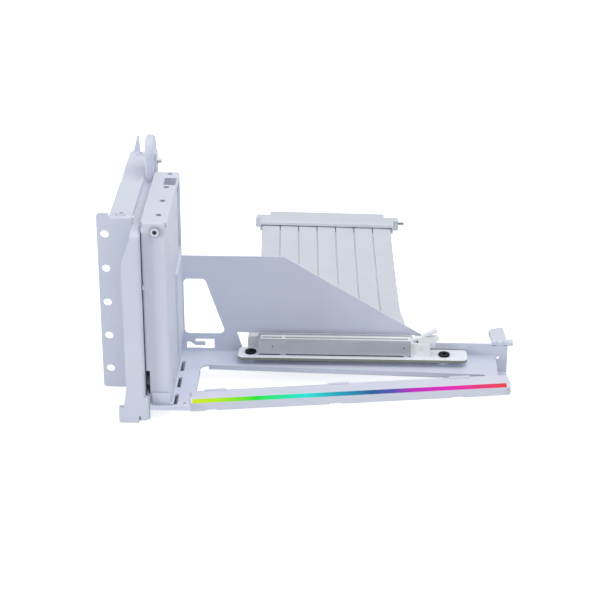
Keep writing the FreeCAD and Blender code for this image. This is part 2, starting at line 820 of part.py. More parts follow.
# Rail hook: a round-topped lobe on the rail, screwed to its rear tab
hook_radius = d.hook_length / 2
hook_crown = d.rail_top + d.hook_height - hook_radius
rail_hook = new_body("rail_hook")
pad(rail_hook, "YZ", [rectangle(hook_y0, hook_y1, d.rail_top, hook_crown)], rail_left, rail_right)
pad(rail_hook, "YZ", [Circle(hook_y, hook_crown, hook_radius)], rail_left, rail_right)
fillet(rail_hook, d.hook_edge_radius, dict(x=rail_left, z=hook_crown), dict(x=rail_right, z=hook_crown))
pocket(rail_hook, "YZ", [Circle(hook_y, hook_screw_z, screw_hole)], rail_left, rail_right)
pocket(rail_hook, "YZ", [Circle(hook_y, hook_screw_z, d.screw_head_radius + d.screw_gap)],
       rail_left, rail_left + d.screw_head_height)
keep(screw("x", rail_left + d.screw_head_height, tab_right + d.hook_screw_tail, (hook_y, hook_screw_z)),
     "hook_screw")

# Tower screws and spacers
group("bracket_screws",
      [screw("z", bracket_z1, d.rail_top - d.rail_wall, (bracket_screw_x, y), head_height=d.low_head_height)
       for y in bracket_screw_ys])
group("bracket_spacers",
      [tube("z", d.rail_top, bracket_under, (bracket_screw_x, y), d.spacer_radius, screw_hole)
       for y in bracket_screw_ys])
group("tie_screws",
      [screw("x", rail_right - d.rail_wall, frame_right, tie_place) for tie_place in tie_places])
group("tie_spacers",
      [tube("x", rail_right, frame_right - sheet_t, tie_place, d.tie_spacer_radius, screw_hole)
       for tie_place in tie_places])
keep(screw("y", frame_y0, frame_y0 + d.frame_screw_length, (frame_screw_x, frame_screw_z)), "frame_screw")
group("tray_screws",
      [screw("z", -sheet_t, d.tray_screw_tail, (tray_screw_x, y)) for y in tray_screw_ys])

# Tray: base, back wall and lips, folded from one sheet
tray_left = toe_right + d.tray_left_inset
tray_y0 = -d.tray_front


def rim_y(x, depth):
    """Y on a line that runs along the light bar, a depth in front of the bar's back edge."""
    return -d.bar_back + (x - d.bar_left) * bar_slope - depth / bar_cosine


rim_front = d.bar_web - d.rim_gap
front_right = d.tray_front_right + (rim_y(d.tray_front_right, rim_front) - tray_y0) * bar_slope
stand_y1 = frame_y0 - d.screw_gap
stand_y0 = stand_y1 - sheet_t
slot_centres = [(k - (SIZES["tip_slot_count"] - 1) / 2) * d.slot_pitch for k in range(SIZES["tip_slot_count"])]
board_holes = [d.board_left + d.board_hole_left, d.board_left + d.board_hole_left + d.board_hole_spacing]
board_hole_y = d.board_front + d.board_hole_front
anchor_top = d.anchor_bottom + d.anchor_height
tongue_z1 = anchor_top - d.anchor_tongue_top
outlet_left = d.clamp_left - d.outlet_room
outlet_right = clamp_right + d.outlet_gap
leg_left = d.wall_right - d.leg_width
hinge_seat_x = flap_left - d.piece_gap
hinge_seat_z = hinge_z - d.knuckle_radius - d.piece_gap

mount_tray = new_body("mount_tray")
pad(mount_tray, "XY",
    [Polygon([(tray_left, tray_y0), (front_right, tray_y0),
              (d.tray_front_right, rim_y(d.tray_front_right, rim_front)),
              (d.tray_right, rim_y(d.tray_right, rim_front)), (d.tray_right, wall_y1), (frame_right, wall_y1),
              (frame_right, frame_y1), (tray_left, frame_y1)])],
    -sheet_t, ZERO)
pad(mount_tray, "XZ",
    [Polygon([(frame_right, -sheet_t), (leg_left, -sheet_t), (leg_left, floor), (d.wall_right, floor),
              (d.wall_right, hinge_seat_z), (hinge_seat_x, hinge_seat_z), (hinge_seat_x, d.wall_low_height),
              (d.wall_low_start, d.wall_low_height), (d.wall_shoulder, d.wall_height),
              (frame_right, d.wall_height)])],
    wall_y0, wall_y1)
fillet(mount_tray, d.wall_bend, dict(y=wall_y0, z=ZERO))
pad(mount_tray, "XZ", [rectangle(leg_left, d.wall_right, floor, floor + sheet_t)], wall_y0 - d.leg_foot, wall_y1)
fillet(mount_tray, d.wall_corner, dict(x=d.wall_shoulder, z=d.wall_height),
       dict(x=d.wall_low_start, z=d.wall_low_height))
pad(mount_tray, "YZ",
    [rectangle(wall_y0 - d.wall_fold_length, wall_y1, d.wall_fold_bottom, d.wall_height)],
    frame_right, frame_right + sheet_t)
pad(mount_tray, "XZ",
    [rectangle(tray_left + d.stand_tab_left, frame_right - d.stand_tab_inset, -sheet_t, d.stand_tab_height)],
    stand_y0, stand_y1)
pocket(mount_tray, "XY",
       [rectangle(tray_left + d.stand_tab_left, frame_right + d.stand_tab_inset,
                  stand_y0 - d.stand_tab_slot, stand_y0)],
       -sheet_t, ZERO)
pad(mount_tray, "XZ", [rectangle(tray_left, front_right, -d.front_lip, ZERO)],
    tray_y0, tray_y0 + sheet_t)
fillet(mount_tray, d.lip_corner, dict(x=tray_left, z=-d.front_lip))
pocket(mount_tray, "XY",
       [rectangle(-d.tip_slot_width / 2, d.tip_slot_width / 2, y - d.tip_slot_length / 2,
                  y + d.tip_slot_length / 2) for y in slot_centres],
       -sheet_t, ZERO)
pocket(mount_tray, "XY",
       [rectangle(d.tray_front_right - d.end_slot_width * 2, d.tray_front_right - d.end_slot_width,
                  tray_y0 + sheet_t * 2, tray_y0 + sheet_t * 2 + d.end_slot_length)],
       -sheet_t, ZERO)
opening_front_left = rim_y(d.opening_left, d.rim_back)
opening_front_right = rim_y(d.opening_right, d.rim_back)
pocket(mount_tray, "XY",
       [Polygon([(d.opening_left, opening_front_left), (d.opening_right, opening_front_right),
                 (d.opening_right, d.opening_back_right), (d.opening_left, d.opening_back_left)])],
       -sheet_t, ZERO)
fillet(mount_tray, d.opening_corner, dict(x=d.opening_left, y=d.opening_back_left))
fillet(mount_tray, d.opening_end_corner, dict(x=d.opening_right, y=opening_front_right),
       dict(x=d.opening_right, y=d.opening_back_right), dict(x=d.opening_left, y=opening_front_left))
opening_rise = (d.opening_back_right - d.opening_back_left) / (d.opening_right - d.opening_left)
lip_x0 = d.opening_left + d.opening_corner
lip_x1 = d.opening_right - d.opening_corner
lip_y0 = d.opening_back_left + opening_rise * d.opening_corner
lip_y1 = d.opening_back_right - opening_rise * d.opening_corner
pad(mount_tray, "XY",
    [Polygon([(lip_x0, lip_y0), (lip_x1, lip_y1), (lip_x1, lip_y1 + sheet_t), (lip_x0, lip_y0 + sheet_t)])],
    -d.opening_lip, -sheet_t / 2)
pad(mount_tray, "XY",
    [rectangle(d.opening_left - sheet_t, d.opening_left, rim_y(d.opening_left, ZERO) + d.opening_corner,
               d.opening_back_left - d.opening_corner)],
    -d.opening_lip, -sheet_t / 2)
pocket(mount_tray, "XY", [Circle(tray_screw_x, y, screw_hole) for y in tray_screw_ys], -sheet_t, ZERO)
pocket(mount_tray, "XY", [Circle(x, board_hole_y, d.board_hole_radius) for x in board_holes], -sheet_t, ZERO)
window_top = d.window_bottom + d.window_height
window_top_right = d.window_left + d.window_top_width
window_low_right = d.window_left + d.window_bottom_width
pocket(mount_tray, "XZ",
       [Polygon([(d.window_left, d.window_bottom), (window_low_right, d.window_bottom),
                 (window_top_right, window_top), (d.window_left, window_top)])],
       wall_y0, wall_y1)
fillet(mount_tray, d.window_corner, dict(x=d.window_left, z=d.window_bottom),
       dict(x=window_low_right, z=d.window_bottom), dict(x=window_top_right, z=window_top),
       dict(x=d.window_left, z=window_top))
pocket(mount_tray, "XZ",
       [Polygon([(d.anchor_left, d.anchor_bottom), (d.anchor_left + d.anchor_width, d.anchor_bottom),
                 (d.anchor_left + d.anchor_width, anchor_top),
                 (d.anchor_left + d.anchor_tongue_root, anchor_top),
                 (d.anchor_left + d.anchor_tongue_root, tongue_z1),
                 (d.anchor_left + d.anchor_tongue_length, tongue_z1),
                 (d.anchor_left + d.anchor_tongue_length, tongue_z1 - d.anchor_tongue_height),
                 (d.anchor_left + d.anchor_tongue_root, tongue_z1 - d.anchor_tongue_height),
                 (d.anchor_left + d.anchor_tongue_top, tongue_z1),
                 (d.anchor_left, tongue_z1)])],
       wall_y0, wall_y1)
pocket(mount_tray, "XZ",
       [Polygon([(outlet_left, d.outlet_bottom), (outlet_right, d.outlet_bottom), (outlet_right, d.outlet_top),
                 (outlet_left - d.outlet_slant, d.outlet_top)])],
       wall_y0, wall_y1)
pocket(mount_tray, "XZ",
       [Circle(leg_left + d.leg_hole_side, d.wall_low_height - d.leg_hole_drop, d.leg_hole_radius)],
       wall_y0, wall_y1)
knuckle_x0 = flap_middle - d.knuckle_width / 2
knuckle_x1 = flap_middle + d.knuckle_width / 2
pad(mount_tray, "XZ", [rectangle(knuckle_x0, knuckle_x1, hinge_seat_z - sheet_t, hinge_z)], wall_y0, wall_y1)
pad(mount_tray, "YZ", [Circle(hinge_y, hinge_z, d.knuckle_radius)], knuckle_x0, knuckle_x1)
pocket(mount_tray, "YZ", [Circle(hinge_y, hinge_z, d.flap_pin_radius + d.running_gap)], knuckle_x0, knuckle_x1)

# Flap at the wall's right end, and the pin that it turns on
barrel_spans = [(flap_left, knuckle_x0 - d.piece_gap), (knuckle_x1 + d.piece_gap, flap_right)]
flap_y0 = hinge_y + d.flap_setback
flap_y1 = hinge_y + d.flap_length
support_flap = new_body("support_flap")
flap_end_left = (flap_left - d.flap_lean, flap_y1 - d.flap_slant)
flap_end_right = (flap_right - d.flap_lean, flap_y1)
pad(support_flap, "XY",
    [Polygon([(flap_left, flap_y0), (flap_right, flap_y0), flap_end_right, flap_end_left])],
    hinge_z - d.flap_thickness, hinge_z)
fillet(support_flap, d.flap_corner, *[dict(x=x, y=y) for x, y in (flap_end_left, flap_end_right)])
for start, end in barrel_spans:
    pad(support_flap, "YZ", [Circle(hinge_y, hinge_z, d.knuckle_radius)], start, end)
    pad(support_flap, "YZ", [rectangle(hinge_y, flap_y0 + d.piece_gap, hinge_z - d.knuckle_radius, hinge_z)],
        start, end)
for start, end in barrel_spans:
    pocket(support_flap, "YZ", [Circle(hinge_y, hinge_z, d.flap_pin_radius + d.running_gap)], start, end)
flap_pin_shaft = cylinder(d.flap_pin_radius, "x", flap_left, flap_right, (hinge_y, hinge_z))
flap_pin_head = cylinder(d.flap_pin_head_radius, "x", flap_right + d.running_gap,
                         flap_right + d.flap_pin_head_length, (hinge_y, hinge_z))
flap_pin_neck = cylinder(d.flap_pin_radius, "x", flap_right, flap_right + d.flap_pin_head_length,
                         (hinge_y, hinge_z))
keep(fuse([flap_pin_shaft, flap_pin_neck, flap_pin_head]), "flap_pin")

# Light bar, drawn in its own frame: X along the bar, Y = 0 at its back edge, front at negative Y
bar_at = (d.bar_left, -d.bar_back, ZERO)
bar_low = d.bar_top - d.bar_height
bar_front = -d.bar_depth
lens_y = bar_front + d.bar_lens_width
lens_z = d.bar_top - d.bar_lens_height
web_y = -d.bar_web
board_y = web_y - d.bar_wall
shelf_z = -d.bar_shelf
clip_starts = [d.clip_first + k * d.clip_pitch for k in range(SIZES["clip_count"])]

led_housing = new_body("led_housing", bar_at, d.bar_angle)
pad(led_housing, "YZ",
    [Polygon([(ZERO, d.bar_top), (lens_y, d.bar_top), (lens_y, d.bar_top - d.bar_wall),
              (board_y, d.bar_top - d.bar_wall), (board_y, shelf_z + d.bar_wall),
              (bar_front + d.bar_wall, shelf_z + d.bar_wall), (bar_front + d.bar_wall, lens_z),
              (bar_front, lens_z), (bar_front, bar_low), (bar_front + d.bar_floor_width, bar_low),
              (bar_front + d.bar_floor_width, bar_low + d.bar_wall),
              (bar_front + d.bar_wall, bar_low + d.bar_wall),
              (bar_front + d.bar_wall, shelf_z), (web_y, shelf_z), (web_y, ZERO), (ZERO, ZERO)])],
    ZERO, d.bar_length)
pocket(led_housing, "XY",
       [rectangle(start, start + d.bar_notch_length, bar_front, bar_front + d.bar_wall) for start in clip_starts],
       bar_low, bar_low + d.bar_notch_height)

led_diffuser = new_body("led_diffuser", bar_at, d.bar_angle)
pad(led_diffuser, "YZ",
    [Polygon([(lens_y, d.bar_top), (bar_front, lens_z), (bar_front + d.bar_wall, lens_z),
              (lens_y, d.bar_top - d.bar_lens_wall)])],
    ZERO, d.bar_length)

led_board = new_body("led_board", bar_at, d.bar_angle)
light_board_y = board_y - d.light_board_thickness
pad(led_board, "YZ",
    [rectangle(light_board_y, board_y, shelf_z + d.bar_wall, d.bar_top - d.bar_wall)],
    d.light_board_margin, d.bar_length - d.light_board_margin)

chip_span = d.bar_length - d.light_board_margin * 4 - d.chip_length
chip_count = int(float(chip_span) // SIZES["chip_pitch"]) + 1
chip_low = shelf_z + d.bar_wall + d.running_gap
chip_size = (d.chip_length, d.chip_thickness, d.chip_height)
boxes("led_chips",
      [((d.light_board_margin * 2 + k * d.chip_pitch, light_board_y - d.chip_thickness, chip_low), chip_size)
       for k in range(chip_count)],
      bar_at, d.bar_angle)

cap_outline = Polygon([(web_y, d.bar_top), (lens_y, d.bar_top), (bar_front, lens_z), (bar_front, bar_low),
                       (web_y, bar_low)])
end_outline = Polygon([(ZERO, d.bar_top), (lens_y, d.bar_top), (bar_front, lens_z), (bar_front, bar_low),
                       (web_y, bar_low), (web_y, ZERO), (ZERO, ZERO)])
end_x = d.bar_length + d.end_cap_thickness
left_cap = new_body("left_cap", bar_at, d.bar_angle, listed=False)
pad(left_cap, "YZ", [cap_outline], -d.cap_thickness, ZERO)
right_cap = new_body("right_cap", bar_at, d.bar_angle, listed=False)
pad(right_cap, "YZ", [end_outline], d.bar_length, end_x)
fillet(right_cap, d.end_cap_corner, dict(x=end_x, y=bar_front), dict(x=end_x, y=ZERO))
end_screw_x = d.bar_length + d.end_cap_thickness / 2
pocket(right_cap, "XZ",
       [Circle(end_screw_x - d.piece_gap, -d.end_screw_height, d.end_screw_radius + d.running_gap)],
       bar_front, bar_front + d.end_screw_length)
group("led_end_caps", [left_cap, right_cap])

end_screw = new_body("led_end_screw", bar_at, d.bar_angle)
end_screw_at = (end_screw_x - d.piece_gap, -d.end_screw_height)
pad(end_screw, "XZ", [Circle(*end_screw_at, d.end_screw_radius)], bar_front,
    bar_front + d.end_screw_length - d.screw_gap)
pad(end_screw, "XZ", [Circle(*end_screw_at, d.end_screw_head_radius)],
    bar_front - d.end_screw_head_height, bar_front)

clips = []
for k, start in enumerate(clip_starts):
    clip = new_body(f"clip_{k}", bar_at, d.bar_angle, listed=False)
    pad(clip, "YZ",
        [Polygon([(d.clip_gap + d.clip_thickness, d.bar_top + d.clip_thickness),
                  (-d.clip_top_reach, d.bar_top + d.clip_thickness), (-d.clip_top_reach, d.bar_top),
                  (d.clip_gap, d.bar_top), (d.clip_gap, -sheet_t), (-d.clip_bottom_reach, -sheet_t),
                  (-d.clip_bottom_reach, -sheet_t - d.clip_thickness),
                  (d.clip_gap + d.clip_thickness, -sheet_t - d.clip_thickness)])],
        start, start + d.clip_length)
    clips.append(clip)
group("led_clips", clips)

# Riser socket on its board
socket_board = new_body("socket_board")
pad(socket_board, "XY", [rectangle(d.board_left, board_right, d.board_front, board_y1)], d.board_lift, board_top)
fillet(socket_board, d.board_corner,
       *[dict(x=x, y=y) for x in (d.board_left, board_right) for y in (d.board_front, board_y1)])
pocket(socket_board, "XY", [Circle(x, board_hole_y, d.board_hole_radius) for x in board_holes],
       d.board_lift, board_top)
group("board_standoffs",
      [tube("z", ZERO, d.board_lift, (x, board_hole_y), d.standoff_radius, d.board_screw_radius + d.running_gap)
       for x in board_holes])
group("board_screws",
      [screw("z", board_top, board_top - d.board_screw_depth, (x, board_hole_y), d.board_screw_radius,
             d.board_head_radius, d.board_head_height)
       for x in board_holes])

groove_y0 = socket_middle - d.groove_width / 2
groove_y1 = socket_middle + d.groove_width / 2
groove_x0 = d.socket_left + d.groove_margin
groove_x1 = socket_right - d.groove_margin
key_x0 = groove_x0 + d.groove_key_start
key_x1 = key_x0 + d.groove_key_width
groove_z0 = socket_top - d.groove_depth
latch_x1 = socket_right + d.latch_block_length
latch_y0 = socket_middle - d.latch_block_depth / 2
latch_y1 = socket_middle + d.latch_block_depth / 2
latch_z1 = board_top + d.latch_block_height
pivot_x = socket_right + d.latch_pivot_side
pivot_z = board_top + d.latch_pivot_height
slot_y0 = latch_y0 + d.latch_cheek
slot_y1 = latch_y1 - d.latch_cheek

socket_body = new_body("socket_body")
pad(socket_body, "XY", [rectangle(d.socket_left, socket_right, d.socket_front, socket_y1)], board_top, socket_top)
for start, end in ((groove_x0, key_x0), (key_x1, groove_x1)):
    pocket(socket_body, "XY", [rectangle(start, end, groove_y0, groove_y1)], groove_z0, socket_top)
pad(socket_body, "XY", [rectangle(socket_right, latch_x1, latch_y0, latch_y1)], board_top, latch_z1)
pocket(socket_body, "XY", [rectangle(socket_right + d.latch_back_wall, latch_x1, slot_y0, slot_y1)],
       board_top + d.latch_floor, latch_z1)
pocket(socket_body, "XZ", [Circle(pivot_x, pivot_z, d.latch_pin_radius + d.running_gap)], latch_y0, latch_y1)

# Shroud: thin metal jacket round the socket, open at the latch end
jacket = d.shroud_thickness
shroud_z0 = board_top + d.shroud_lift
shroud_top = socket_top + jacket
socket_shroud = new_body("socket_shroud")
pad(socket_shroud, "XY",
    [rectangle(d.socket_left - jacket, socket_right, d.socket_front - jacket, socket_y1 + jacket)],
    shroud_z0, shroud_top)
pocket(socket_shroud, "XY", [rectangle(d.socket_left, socket_right, d.socket_front, socket_y1)],
       shroud_z0, socket_top)
pocket(socket_shroud, "XY",
       [rectangle(d.socket_left + d.shroud_lip, socket_right, d.socket_front + d.shroud_lip,
                  socket_y1 - d.shroud_lip)],
       socket_top, shroud_top)
shroud_feet = [d.socket_left + d.shroud_foot_left, socket_right - d.shroud_foot_right - d.shroud_foot_width]
for start in shroud_feet:
    pad(socket_shroud, "XZ", [rectangle(start, start + d.shroud_foot_width, board_top, shroud_z0 + jacket)],
        d.socket_front - jacket, d.socket_front)
pocket(socket_shroud, "XZ",
       [Circle(x, board_top + d.shroud_dimple_height, d.shroud_dimple_radius)
        for x in (d.socket_left + d.shroud_dimple_left, socket_right - d.shroud_dimple_right)],
       d.socket_front - jacket, d.socket_front)


contact_z0 = groove_z0 + d.contact_low
contact_height = d.groove_depth - d.contact_low - d.contact_high
contact_size = (d.contact_width, d.contact_thickness, contact_height)
contact_corners = []
for start, end in ((groove_x0, key_x0), (key_x1, groove_x1)):
    count = int((float(end) - float(start)) // SIZES["contact_pitch"])
    margin = (end - start - (count - 1) * d.contact_pitch - d.contact_width) / 2
    for k in range(count):
        for y in (groove_y0, groove_y1 - d.contact_thickness):
            contact_corners.append(((start + margin + k * d.contact_pitch, y, contact_z0), contact_size))
boxes("socket_contacts", contact_corners)

# Latch lever: a hooked lever with two thumb fins, on trunnions in the socket's end block
lever_y0 = slot_y0 + d.piece_gap
lever_y1 = slot_y1 - d.piece_gap
LEVER_PROFILE = [(2.2, 0.6), (7.8, 0.6), (7.8, 4.0), (10.4, 5.8), (9.0, 7.4), (2.2, 7.0), (2.2, 7.7),
                 (8.7, 9.8), (8.1, 12.3), (0.8, 8.3), (-0.6, 6.6), (-4.6, 6.6), (-4.6, 5.45)]
socket_latch = new_body("socket_latch")
pad(socket_latch, "XZ",
    [Polygon([(pivot_x - d.latch_stem, pivot_z - d.latch_foot), (pivot_x + d.latch_stem, pivot_z - d.latch_foot)]
             + [(pivot_x + across, pivot_z + up) for across, up in LEVER_PROFILE]
             + [(pivot_x - d.latch_stem, pivot_z + d.latch_neck)])],
    lever_y0, lever_y1)
pad(socket_latch, "XZ", [Circle(pivot_x, pivot_z, d.latch_pin_radius)],
    latch_y0 + d.latch_pin_setback, latch_y1 - d.latch_pin_setback)

# Ribbon clamp: the moulded bar behind the socket that holds the strips' ends
ribbon_clamp = new_body("ribbon_clamp")
clamp_top = board_top + d.clamp_height
pad(ribbon_clamp, "XY", [rectangle(d.clamp_left, clamp_right, clamp_y0, clamp_y1)], board_top, clamp_top)
fillet(ribbon_clamp, d.clamp_corner, dict(x=d.clamp_left, z=clamp_top), dict(x=clamp_right, z=clamp_top))
strip_span = d.strip_pitch * (SIZES["strip_count"] - 1) + d.strip_width
ribbon_x = d.clamp_left + d.clamp_length / 2 + d.ribbon_offset
slit_half = strip_span / 2 + d.side_gap
pocket(ribbon_clamp, "XY", [rectangle(ribbon_x - slit_half, ribbon_x + slit_half, clamp_y1 - d.clamp_slit_depth,
                                      clamp_y1)],
       slit_z0, slit_z0 + d.clamp_slit_height)

# Ribbon strips: flat straps that leave the clamp, drop to the floor and run to the plug.
# The route is distance along the strip's own direction and height above the floor of its mid-line.
RIBBON_ROUTE = [(0.0, 18.5), (20.0, 18.5), (42.0, 14.0), (66.0, 5.0), (92.0, 0.5), (174.0, 0.5), (192.0, 1.8),
                (210.0, 3.5)]
BEND_SHARE = 0.45


def strip_face(points, thickness):
    """The side face of a strap along straight runs and tangent arcs, in the YZ plane."""
    joints = []
    for before, corner, after in zip(points, points[1:], points[2:]):
        back = (before - corner).normalize()
        ahead = (after - corner).normalize()
        turn = math.pi - back.getAngle(ahead)
        reach = BEND_SHARE * min(before.distanceToPoint(corner), after.distanceToPoint(corner))
        radius = reach / math.tan(turn / 2)
        inward = (back + ahead).normalize()
        centre = corner + inward * (radius / math.cos(turn / 2))
        joints.append((corner + back * reach, centre, -inward, radius, corner + ahead * reach))
        print(f"ribbon bend radius {radius:.1f} mm")

    def side(offset):
        edges = []
        start = points[0]
        spin = FreeCAD.Vector(1, 0, 0)
        normal = spin.cross((points[1] - points[0]).normalize())
        here = start + normal * offset
        for first, centre, outward, radius, last in joints:
            entry = first + (first - centre).normalize() * (
                offset * math.copysign(1, (first - centre).dot(normal)))
            middle = centre + outward * radius
            middle += outward * (offset * math.copysign(1, outward.dot(normal)))
            exit_point = last + (last - centre).normalize() * (
                offset * math.copysign(1, (last - centre).dot(normal)))
            edges.append(Part.LineSegment(here, entry).toShape())
            edges.append(Part.Arc(entry, middle, exit_point).toShape())
            here = exit_point
        final = spin.cross((points[-1] - points[-2]).normalize())
        end = points[-1] + final * offset
        edges.append(Part.LineSegment(here, end).toShape())
        return edges, start + normal * offset, end

    upper, upper_start, upper_end = side(thickness / 2)
    lower, lower_start, lower_end = side(-thickness / 2)
    caps = [Part.LineSegment(upper_end, lower_end).toShape(), Part.LineSegment(lower_start, upper_start).toShape()]
    return Part.Face(Part.Wire(Part.__sortEdges__(upper + lower + caps)))


strip_route = [FreeCAD.Vector(0, along, height) for along, height in RIBBON_ROUTE]
strip_shape_face = strip_face(strip_route, float(d.strip_thickness))
strip_start = clamp_y1 - d.strip_insert
strip_count = SIZES["strip_count"]
for k in range(strip_count):
    strip = doc.addObject("Part::Feature", f"ribbon_strip_{k + 1}")
    half = FreeCAD.Vector(float(d.strip_width) / 2, 0, 0)
    blank = strip_shape_face.copy()
    blank.translate(-half)
    strip.Shape = blank.extrude(half * 2)
    strip_x = ribbon_x + (k - (strip_count - 1) / 2) * d.strip_pitch
    place(strip, (strip_x, strip_start, floor), d.ribbon_lean)
    keep(strip, f"ribbon_strip_{k + 1}")

# Plug, drawn in its own frame: X across, Y = 0 at the boss's front face, Z = 0 on the floor
plug_at = (d.plug_across, d.plug_back, floor)
plug_half = d.plug_width / 2
boss_half = strip_span / 2 + d.plug_boss_margin
body_y0 = d.plug_boss_depth
body_y1 = body_y0 + d.plug_body_depth
part_line = d.plug_height / 2
card_half = d.plug_board_thickness / 2
card_width_half = d.plug_board_width / 2
tongue_x0 = -d.tongue_left
tongue_x1 = tongue_x0 + d.tongue_width
tongue_y1 = body_y1 + d.tongue_length
plug_outline = Polygon([(-boss_half, ZERO), (boss_half, ZERO), (boss_half, body_y0), (plug_half, body_y0),
                        (plug_half, body_y1), (-plug_half, body_y1), (-plug_half, body_y0), (-boss_half, body_y0)])
slit_x = boss_half - d.plug_boss_margin / 2
card_y0 = body_y0 + d.piece_gap
for label, low, high, side in (("plug_base", ZERO, part_line, -1), ("plug_cover", part_line, d.plug_height, 1)):
    shell = new_body(label, plug_at, -d.plug_turn)
    pad(shell, "XY", [plug_outline], low, high)
    outer = high if side > 0 else low
    fillet(shell, d.plug_corner, dict(x=plug_half, z=outer), dict(x=-plug_half, z=outer), dict(y=ZERO, z=outer))
    recess = sorted((part_line, part_line + side * card_half), key=float)
    pocket(shell, "XY", [rectangle(-card_width_half - d.running_gap, plug_half, card_y0, body_y1)], *recess)
    mouth = sorted((part_line, part_line + side * d.plug_slit_height / 2), key=float)
    pocket(shell, "XY", [rectangle(-slit_x, slit_x, ZERO, d.plug_slit_depth)], *mouth)

plug_board = new_body("plug_board", plug_at, -d.plug_turn)
hook_x1 = plug_half + d.card_hook_reach
card_z0 = part_line - card_half
card_z1 = part_line + card_half
tongue_key_x0 = tongue_x0 + d.tongue_key_start
tongue_key_x1 = tongue_key_x0 + d.tongue_key_width
pad(plug_board, "XY",
    [Polygon([(-card_width_half, card_y0), (card_width_half, card_y0),
              (card_width_half, body_y1 - d.card_hook_depth), (hook_x1, body_y1 - d.card_hook_depth),
              (hook_x1, body_y1), (tongue_x1, body_y1),
              (tongue_x1, tongue_y1), (tongue_key_x1, tongue_y1), (tongue_key_x1, body_y1),
              (tongue_key_x0, body_y1), (tongue_key_x0, tongue_y1), (tongue_x0, tongue_y1), (tongue_x0, body_y1),
              (-card_width_half, body_y1)])],
    card_z0, card_z1)

finger_y0 = tongue_y1 - d.finger_length - d.side_gap
finger_size = (d.finger_width, d.finger_length, d.finger_thickness)
fingers = []
for start, end in ((tongue_x0, tongue_key_x0), (tongue_key_x1, tongue_x1)):
    count = int((float(end) - float(start) - SIZES["finger_width"]) // SIZES["contact_pitch"])
    margin = (end - start - (count - 1) * d.contact_pitch - d.finger_width) / 2
    for k in range(count):
        for low in (card_z1, card_z0 - d.finger_thickness):
            fingers.append(((start + margin + k * d.contact_pitch, finger_y0, low), finger_size))
boxes("plug_fingers", fingers, plug_at, -d.plug_turn)

# Slip-on cover over the plug's contact tongue
cap_gap = d.cover_cap_gap
cap_wall = d.cover_cap_wall
cap_reach = cap_gap + cap_wall
plug_cap = new_body("plug_cap", plug_at, -d.plug_turn)
cap_z0 = card_z0 - d.finger_thickness - cap_reach
cap_z1 = card_z1 + d.finger_thickness + cap_reach
pad(plug_cap, "XY", [rectangle(tongue_x0 - cap_reach, tongue_x1 + cap_reach, body_y1, tongue_y1 + cap_reach)],
    cap_z0, cap_z1)
pocket(plug_cap, "XY", [rectangle(tongue_x0 - cap_gap, tongue_x1 + cap_gap, body_y1, tongue_y1 + cap_gap)],
       cap_z0 + cap_wall, cap_z1 - cap_wall)

# Every feature has to be sound before anything is written
doc.recompute()
for item in doc.Objects:
    if "Invalid" in item.State or "Error" in item.State:
        raise RuntimeError(f"{item.Label} did not build: {item.State}")
for piece in pieces:
    if piece.Shape.isNull() or not piece.Shape.isValid() or not piece.Shape.Solids:
        raise RuntimeError(f"{piece.Label} has no sound shape")

os.makedirs("parts", exist_ok=True)
for piece in pieces:
    piece.Shape.exportStep(f"parts/{piece.Label}.step")
    box = piece.Shape.BoundBox
    print(f"{piece.Label}: {len(piece.Shape.Solids)} solids, {piece.Shape.Volume:.1f} mm3, "
          f"X {box.XMin:.1f} to {box.XMax:.1f}, Y {box.YMin:.1f} to {box.YMax:.1f}, "
          f"Z {box.ZMin:.1f} to {box.ZMax:.1f}")
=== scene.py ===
import math

import bpy
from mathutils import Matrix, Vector


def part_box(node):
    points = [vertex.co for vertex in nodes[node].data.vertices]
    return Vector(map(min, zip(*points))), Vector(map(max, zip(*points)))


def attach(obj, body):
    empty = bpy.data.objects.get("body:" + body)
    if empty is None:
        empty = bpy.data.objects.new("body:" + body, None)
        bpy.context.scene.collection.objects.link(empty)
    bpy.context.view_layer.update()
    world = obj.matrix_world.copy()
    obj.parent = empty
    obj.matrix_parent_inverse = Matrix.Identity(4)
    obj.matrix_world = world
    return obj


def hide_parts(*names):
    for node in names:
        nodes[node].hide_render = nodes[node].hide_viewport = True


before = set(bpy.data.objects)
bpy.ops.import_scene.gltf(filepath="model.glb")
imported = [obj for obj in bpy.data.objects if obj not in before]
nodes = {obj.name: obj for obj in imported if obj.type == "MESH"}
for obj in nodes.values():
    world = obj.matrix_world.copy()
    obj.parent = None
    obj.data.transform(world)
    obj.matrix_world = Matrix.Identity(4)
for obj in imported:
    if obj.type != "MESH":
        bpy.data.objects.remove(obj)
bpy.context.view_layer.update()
MM = 0.001

# Camera: the photograph's viewpoint in the model's frame, with angles in degrees
CAMERA_PLACE = (26.77 * MM, -966.73 * MM, 500.46 * MM)
CAMERA_TILT = 64.986
CAMERA_TURN = 2.03
CAMERA_LENS = 111.8
CAMERA_NEAR = 0.01
SENSOR_WIDTH = 36.0

# Lamps: name, place, aim, width, power and colour
LAMPS = [
    ("overhead", (0.40, 0.0, 1.3), (0.0, 0.05, 0.0), 1.5, 12.0, (1.0, 0.99, 0.98)),
    ("front_left", (-1.55, -0.85, 0.32), (-0.05, 0.0, 0.05), 0.6, 11.2, (0.97, 0.98, 1.0)),
    ("front_right", (1.25, -1.1, 0.45), (0.05, 0.0, 0.03), 1.0, 1.8, (0.97, 0.98, 1.0)),
]
SKY_COLOUR = (0.90, 0.94, 1.0)
SKY_STRENGTH = 0.42

# Floor: its reach and level, how much it glows to the camera, and the patches that glow less
FLOOR_REACH = 4.0
FLOOR_LEVEL = -0.2 * MM
FLOOR_GLOW = 0.72
SHADE_REACH = 5.0 * MM
SHADE_SETBACK = 13.0 * MM
SHADE_BLUR = 6.0 * MM
RIBBON_SHADE = 0.25

